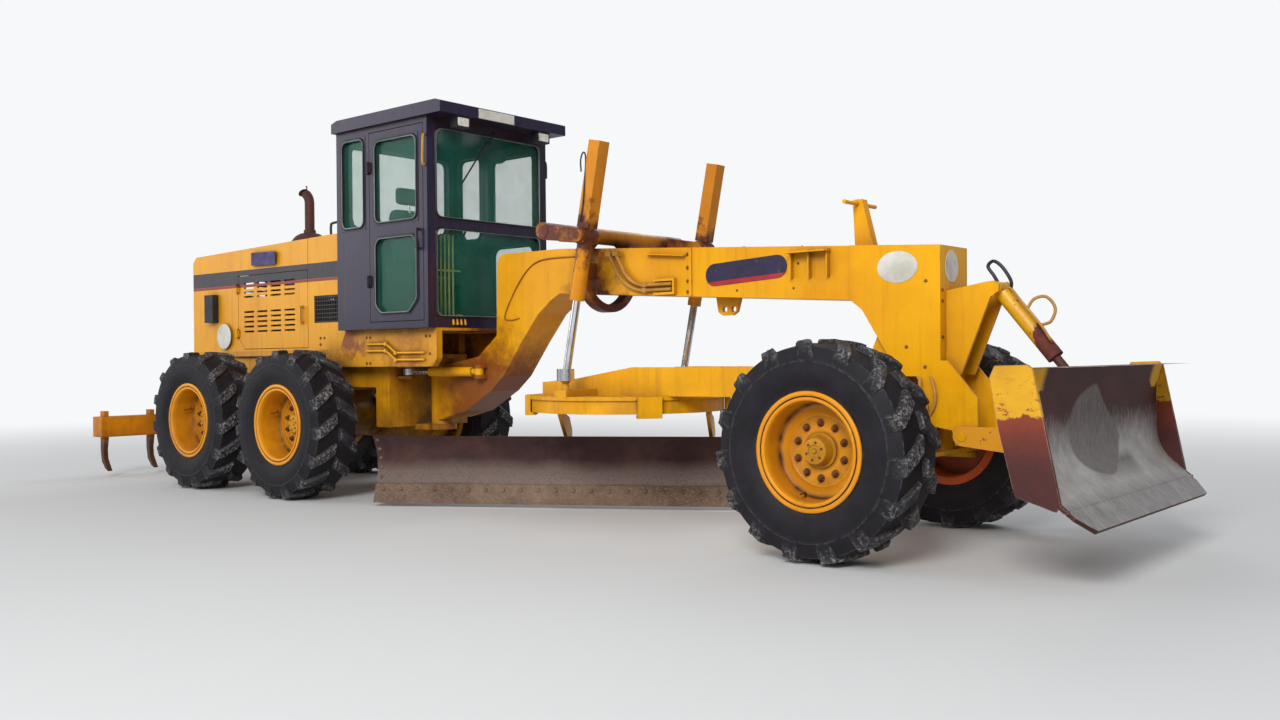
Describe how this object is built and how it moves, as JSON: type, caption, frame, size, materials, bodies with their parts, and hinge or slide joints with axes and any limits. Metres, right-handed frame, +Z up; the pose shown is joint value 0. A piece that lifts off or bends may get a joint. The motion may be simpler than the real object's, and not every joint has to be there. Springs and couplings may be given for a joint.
{
  "type": "motor grader",
  "caption": "Motor grader with a hinged frame, tandem rear drive, cab, blade hung from a turning circle, front bucket and rear ripper.",
  "frame": {"origin": "on the ground under the middle of the whole length and width", "axes": "+X towards the front of the machine, +Y to its left, +Z up"},
  "size_m": [10.7871, 2.335, 3.41],
  "materials": {
    "yellow_paint": "semi_gloss",
    "orange_paint": "semi_gloss",
    "blue_paint": "semi_gloss",
    "red_paint": "matte",
    "worn_steel": "matte",
    "rod_chrome": "polished",
    "burnt_steel": "matte",
    "dark_metal": "matte",
    "black_plastic": "matte",
    "hose_rubber": "matte",
    "seat_cover": "matte",
    "window_glass": "polished",
    "tyre_rubber": "matte"
  },
  "bodies": {
    "rear_frame": {"chassis": "yellow_paint", "engine_block": "dark_metal", "hood": "yellow_paint", "radiator_grille": "dark_metal", "exhaust": "burnt_steel", "tandem_drive": "yellow_paint", "cab_frame": "blue_paint", "cab_roof": "blue_paint", "cab_glass": "window_glass", "seat": "seat_cover", "controls": "black_plastic", "lamps": "black_plastic", "hydraulic_lines": "yellow_paint"},
    "door_right": {"door_right": "blue_paint", "door_right_glass": "window_glass"},
    "door_left": {"door_left": "blue_paint", "door_left_glass": "window_glass"},
    "engine_door_right": {"engine_door_right": "yellow_paint"},
    "engine_door_left": {"engine_door_left": "yellow_paint"},
    "ripper": {"ripper": "yellow_paint"},
    "ripper_barrel": {"ripper_barrel": "yellow_paint"},
    "ripper_rod": {"ripper_rod": "rod_chrome"},
    "front_frame": {"main_frame": "yellow_paint", "front_hoses": "hose_rubber", "lift_saddle": "yellow_paint", "front_axle": "yellow_paint"},
    "frame_barrel_right": {"frame_barrel_right": "yellow_paint"},
    "frame_rod_right": {"frame_rod_right": "rod_chrome"},
    "frame_barrel_left": {"frame_barrel_left": "yellow_paint"},
    "frame_rod_left": {"frame_rod_left": "rod_chrome"},
    "lift_barrels": {"lift_barrels": "orange_paint"},
    "lift_rods": {"lift_rods": "rod_chrome"},
    "drawbar": {"drawbar": "yellow_paint"},
    "circle": {"blade_circle": "yellow_paint"},
    "blade_carrier": {"blade_carrier": "worn_steel"},
    "blade": {"moldboard": "worn_steel", "cutting_edge": "worn_steel", "shift_rod": "rod_chrome"},
    "lean_yoke_right": {"lean_yoke_right": "yellow_paint"},
    "lean_yoke_left": {"lean_yoke_left": "yellow_paint"},
    "knuckle_right": {"knuckle_right": "yellow_paint"},
    "knuckle_left": {"knuckle_left": "yellow_paint"},
    "lean_bar": {"lean_bar": "yellow_paint"},
    "tie_end": {"tie_end": "dark_metal"},
    "tie_rod": {"tie_rod": "yellow_paint"},
    "bucket": {"bucket": "red_paint"},
    "bucket_barrel": {"bucket_barrel": "yellow_paint"},
    "bucket_rod": {"bucket_rod": "rod_chrome"},
    "wheel_r1": {"rim_r1": "orange_paint", "tyre_r1": "tyre_rubber"},
    "wheel_l1": {"rim_l1": "orange_paint", "tyre_l1": "tyre_rubber"},
    "wheel_r2": {"rim_r2": "orange_paint", "tyre_r2": "tyre_rubber"},
    "wheel_l2": {"rim_l2": "orange_paint", "tyre_l2": "tyre_rubber"},
    "wheel_r3": {"rim_r3": "orange_paint", "tyre_r3": "tyre_rubber"},
    "wheel_l3": {"rim_l3": "orange_paint", "tyre_l3": "tyre_rubber"}
  },
  "joints": [
    {"name": "articulation", "type": "hinge", "parent": "rear_frame", "child": "front_frame", "pos_m": [-0.8835, 0, 0.935], "axis": [0, 0, -1], "range_deg": [-20, 20]},
    {"name": "door_right_hinge", "type": "hinge", "parent": "rear_frame", "child": "door_right", "pos_m": [-1.0085, -0.728, 2.4], "axis": [0, 0, -1], "range_deg": [0, 105]},
    {"name": "door_left_hinge", "type": "hinge", "parent": "rear_frame", "child": "door_left", "pos_m": [-1.0085, 0.728, 2.4], "axis": [0, 0, 1], "range_deg": [0, 105]},
    {"name": "engine_door_right_hinge", "type": "hinge", "parent": "rear_frame", "child": "engine_door_right", "pos_m": [-3.4835, -0.518, 1.75], "axis": [0, 0, -1], "range_deg": [0, 105]},
    {"name": "engine_door_left_hinge", "type": "hinge", "parent": "rear_frame", "child": "engine_door_left", "pos_m": [-3.4835, 0.518, 1.75], "axis": [0, 0, 1], "range_deg": [0, 105]},
    {"name": "ripper_lift", "type": "hinge", "parent": "rear_frame", "child": "ripper", "pos_m": [-4.5235, 0, 0.75], "axis": [0, 1, 0], "range_deg": [-10, 25]},
    {"name": "ripper_barrel_swing", "type": "hinge", "parent": "rear_frame", "child": "ripper_barrel", "pos_m": [-4.4935, 0, 1.29], "axis": [0, 1, 0], "range_deg": [-6, 14.5]},
    {"name": "ripper_stroke", "type": "slide", "parent": "ripper_barrel", "child": "ripper_rod", "axis": [-0.7481, 0, -0.6636], "range_m": [-0.185, 0.075]},
    {"name": "frame_barrel_swing_right", "type": "hinge", "parent": "front_frame", "child": "frame_barrel_right", "pos_m": [-0.1435, -0.215, 1.14], "axis": [0, 0, 1], "range_deg": [-3, 3]},
    {"name": "frame_stroke_right", "type": "slide", "parent": "frame_barrel_right", "child": "frame_rod_right", "axis": [-0.9901, -0.1406, 0], "range_m": [-0.115, 0.115]},
    {"name": "frame_barrel_swing_left", "type": "hinge", "parent": "front_frame", "child": "frame_barrel_left", "pos_m": [-0.1435, 0.215, 1.14], "axis": [0, 0, 1], "range_deg": [-3, 3]},
    {"name": "frame_stroke_left", "type": "slide", "parent": "frame_barrel_left", "child": "frame_rod_left", "axis": [-0.9901, 0.1406, 0], "range_m": [-0.115, 0.115]},
    {"name": "lift_swing", "type": "hinge", "parent": "front_frame", "child": "lift_barrels", "pos_m": [1.5865, 0, 2.15], "axis": [0, 1, 0], "range_deg": [-1, 1]},
    {"name": "lift_stroke", "type": "slide", "parent": "lift_barrels", "child": "lift_rods", "axis": [-0.2032, 0, -0.9791], "range_m": [-0.3, 0.115]},
    {"name": "drawbar_lift", "type": "hinge", "parent": "front_frame", "child": "drawbar", "pos_m": [3.4565, 0, 0.8], "axis": [0, 1, 0], "range_deg": [-3, 8]},
    {"name": "circle_turn", "type": "hinge", "parent": "drawbar", "child": "circle", "pos_m": [1.3665, 0, 0.88], "axis": [0, 0, 1], "range_deg": [-4, 95]},
    {"name": "blade_tip", "type": "hinge", "parent": "circle", "child": "blade_carrier", "pos_m": [1.15476, 0.37425, 0.17], "axis": [0.8704, 0.4924, 0], "range_deg": [-5, 20]},
    {"name": "blade_shift", "type": "slide", "parent": "blade_carrier", "child": "blade", "axis": [0.8704, 0.4924, 0], "range_m": [-0.05, 0.6]},
    {"name": "lean_right", "type": "hinge", "parent": "front_frame", "child": "lean_yoke_right", "pos_m": [3.7365, -0.56, 0.66], "axis": [1, 0, 0], "range_deg": [-18, 18]},
    {"name": "steer_right", "type": "hinge", "parent": "lean_yoke_right", "child": "knuckle_right", "pos_m": [3.7365, -0.7, 0.67], "axis": [0, 0, 1], "range_deg": [-38, 38]},
    {"name": "spin_r1", "type": "hinge", "parent": "knuckle_right", "child": "wheel_r1", "pos_m": [3.7365, -0.945, 0.67518], "axis": [0, 1, 0], "continuous": true},
    {"name": "lean_left", "type": "hinge", "parent": "front_frame", "child": "lean_yoke_left", "pos_m": [3.7365, 0.56, 0.66], "axis": [1, 0, 0], "range_deg": [-18, 18]},
    {"name": "steer_left", "type": "hinge", "parent": "lean_yoke_left", "child": "knuckle_left", "pos_m": [3.7365, 0.7, 0.67], "axis": [0, 0, 1], "range_deg": [-38, 38]},
    {"name": "spin_l1", "type": "hinge", "parent": "knuckle_left", "child": "wheel_l1", "pos_m": [3.7365, 0.945, 0.67518], "axis": [0, 1, 0], "continuous": true},
    {"name": "lean_bar_pivot", "type": "hinge", "parent": "lean_yoke_right", "child": "lean_bar", "pos_m": [3.7365, -0.56, 0.93], "axis": [1, 0, 0], "range_deg": [-18, 18]},
    {"name": "tie_end_pivot", "type": "hinge", "parent": "knuckle_right", "child": "tie_end", "pos_m": [3.9365, -0.7, 0.59], "axis": [0, 0, 1], "range_deg": [-38, 38]},
    {"name": "tie_rod_pivot", "type": "hinge", "parent": "tie_end", "child": "tie_rod", "pos_m": [3.9365, -0.7, 0.59], "axis": [1, 0, 0], "range_deg": [-18, 18]},
    {"name": "bucket_lift", "type": "hinge", "parent": "front_frame", "child": "bucket", "pos_m": [4.2965, 0, 0.735], "axis": [0, 1, 0], "range_deg": [-4, 24]},
    {"name": "bucket_barrel_swing", "type": "hinge", "parent": "front_frame", "child": "bucket_barrel", "pos_m": [4.4515, 0, 1.66], "axis": [0, 1, 0], "range_deg": [-2, 7]},
    {"name": "bucket_stroke", "type": "slide", "parent": "bucket_barrel", "child": "bucket_rod", "axis": [0.6286, 0, -0.7777], "range_m": [-0.05, 0.29]},
    {"name": "spin_r2", "type": "hinge", "parent": "rear_frame", "child": "wheel_r2", "pos_m": [-1.8135, -0.945, 0.67518], "axis": [0, 1, 0], "continuous": true},
    {"name": "spin_l2", "type": "hinge", "parent": "rear_frame", "child": "wheel_l2", "pos_m": [-1.8135, 0.945, 0.67518], "axis": [0, 1, 0], "continuous": true},
    {"name": "spin_r3", "type": "hinge", "parent": "rear_frame", "child": "wheel_r3", "pos_m": [-3.3535, -0.945, 0.67518], "axis": [0, 1, 0], "continuous": true},
    {"name": "spin_l3", "type": "hinge", "parent": "rear_frame", "child": "wheel_l3", "pos_m": [-3.3535, 0.945, 0.67518], "axis": [0, 1, 0], "continuous": true}
  ],
  "couplings": [
    {"joint": "lift_swing", "follows": "drawbar_lift", "ratio": -0.0081},
    {"joint": "lift_stroke", "follows": "drawbar_lift", "m_per_rad": -2.1051},
    {"joint": "bucket_barrel_swing", "follows": "bucket_lift", "ratio": 0.266},
    {"joint": "bucket_stroke", "follows": "bucket_lift", "m_per_rad": 0.6747},
    {"joint": "ripper_barrel_swing", "follows": "ripper_lift", "ratio": 0.5457},
    {"joint": "ripper_stroke", "follows": "ripper_lift", "m_per_rad": -0.40866},
    {"joint": "frame_barrel_swing_right", "follows": "articulation", "ratio": 0.1407},
    {"joint": "frame_barrel_swing_left", "follows": "articulation", "ratio": 0.1407},
    {"joint": "frame_stroke_right", "follows": "articulation", "m_per_rad": -0.31475},
    {"joint": "frame_stroke_left", "follows": "articulation", "m_per_rad": 0.31475},
    {"joint": "lean_left", "follows": "lean_right", "ratio": 1},
    {"joint": "steer_left", "follows": "steer_right", "ratio": 1},
    {"joint": "lean_bar_pivot", "follows": "lean_right", "ratio": -1},
    {"joint": "tie_end_pivot", "follows": "steer_right", "ratio": -1},
    {"joint": "tie_rod_pivot", "follows": "lean_right", "ratio": -0.803}
  ]
}
